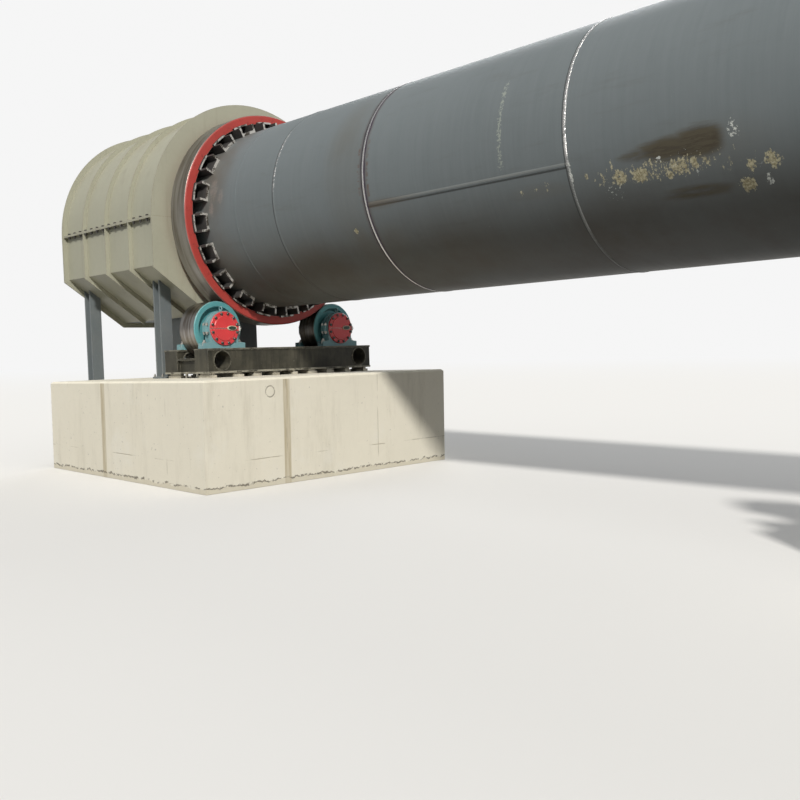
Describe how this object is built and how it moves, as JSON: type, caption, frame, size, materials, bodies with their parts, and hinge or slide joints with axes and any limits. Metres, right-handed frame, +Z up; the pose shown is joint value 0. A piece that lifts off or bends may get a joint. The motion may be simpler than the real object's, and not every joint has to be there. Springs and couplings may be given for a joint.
{
  "type": "rotary kiln",
  "caption": "Inclined rotary kiln: welded steel barrel on riding rings and support rollers, with girth gear drive, concrete piers and a firing hood.",
  "frame": {"origin": "on the ground, straight below the centre of the lower riding ring", "axes": "+X along the kiln to its raised end, +Y across it away from the picture's camera, +Z up"},
  "size_m": [16.4117, 3.3219, 4.3096],
  "materials": {
    "shell_primer": "matt blue-grey primer over brushed plate, fresh bright welds",
    "ring_red": "red oxide primer on a machined ring",
    "cover_red": "gloss signal red",
    "teal": "gloss teal machine paint",
    "dark_steel": "dark cast steel with bare machined edges",
    "shaft_steel": "turned steel",
    "frame_black": "black primer with cement dust",
    "concrete": "cast concrete with form marks",
    "packing_steel": "bare steel packing",
    "gear_red": "orange red primer, bare tooth flanks",
    "machine_green": "green machine enamel",
    "hood_cream": "pale greenish cream paint",
    "guard_yellow": "yellow safety paint"
  },
  "bodies": {
    "root": {"pier_1": "concrete", "pier_2": "concrete", "drive_pier": "concrete", "hood_plinth": "concrete", "base_frame_1": "frame_black", "base_frame_2": "frame_black", "packing_plates_1": "packing_steel", "packing_plates_2": "packing_steel", "bearing_housings_1": "teal", "bearing_housings_2": "teal", "bearing_covers_1": "cover_red", "bearing_covers_2": "cover_red", "drive_base": "frame_black", "pinion_bearings": "teal", "gear_reducer": "machine_green", "coupling_guard": "guard_yellow", "drive_motor": "machine_green", "hood_front": "hood_cream", "hood_casing": "hood_cream", "hood_sides": "hood_cream", "hood_back": "hood_cream", "hood_floor": "shell_primer", "hood_legs": "shell_primer", "hood_door": "dark_steel", "burner_port": "dark_steel", "seal_ring": "dark_steel"},
    "barrel": {"shell_course_1": "shell_primer", "shell_course_2": "shell_primer", "shell_course_3": "shell_primer", "shell_course_4": "shell_primer", "shell_course_5": "shell_primer", "shell_course_6": "shell_primer", "shell_course_7": "shell_primer", "shell_course_8": "shell_primer", "shell_course_9": "shell_primer", "riding_ring_1": "ring_red", "riding_ring_2": "ring_red", "filler_pads_1": "dark_steel", "filler_pads_2": "dark_steel", "stop_blocks_1": "dark_steel", "stop_blocks_2": "dark_steel", "girth_gear": "gear_red", "spring_plates": "gear_red", "brace_spokes": "ring_red", "brace_plate": "ring_red"},
    "roller_1_near": {"roller_1_near": "dark_steel", "roller_shaft_1_near": "shaft_steel"},
    "roller_1_far": {"roller_1_far": "dark_steel", "roller_shaft_1_far": "shaft_steel"},
    "roller_2_near": {"roller_2_near": "dark_steel", "roller_shaft_2_near": "shaft_steel"},
    "roller_2_far": {"roller_2_far": "dark_steel", "roller_shaft_2_far": "shaft_steel"},
    "pinion": {"pinion": "shaft_steel", "pinion_coupling": "machine_green"}
  },
  "joints": [
    {"name": "barrel_turn", "type": "hinge", "parent": "root", "child": "barrel", "pos_m": [0, 0, 2.74273], "axis": [0.9998, 0, 0.0201], "continuous": true},
    {"name": "roller_1_near_turn", "type": "hinge", "parent": "root", "child": "roller_1_near", "pos_m": [0.02455, -0.82498, 1.5199], "axis": [0.9998, 0, 0.0201], "continuous": true},
    {"name": "roller_1_far_turn", "type": "hinge", "parent": "root", "child": "roller_1_far", "pos_m": [0.02455, 0.82498, 1.5199], "axis": [0.9998, 0, 0.0201], "continuous": true},
    {"name": "roller_2_near_turn", "type": "hinge", "parent": "root", "child": "roller_2_near", "pos_m": [11.02233, -0.82498, 1.74067], "axis": [0.9998, 0, 0.0201], "continuous": true},
    {"name": "roller_2_far_turn", "type": "hinge", "parent": "root", "child": "roller_2_far", "pos_m": [11.02233, 0.82498, 1.74067], "axis": [0.9998, 0, 0.0201], "continuous": true},
    {"name": "pinion_turn", "type": "hinge", "parent": "root", "child": "pinion", "pos_m": [9.62407, -0.9074, 1.63976], "axis": [0.9998, 0, 0.0201], "continuous": true}
  ],
  "couplings": [
    {"joint": "roller_1_near_turn", "follows": "barrel_turn", "ratio": -3.9167},
    {"joint": "roller_1_far_turn", "follows": "barrel_turn", "ratio": -3.9167},
    {"joint": "roller_2_near_turn", "follows": "barrel_turn", "ratio": -3.9167},
    {"joint": "roller_2_far_turn", "follows": "barrel_turn", "ratio": -3.9167},
    {"joint": "pinion_turn", "follows": "barrel_turn", "ratio": -5.6471}
  ]
}
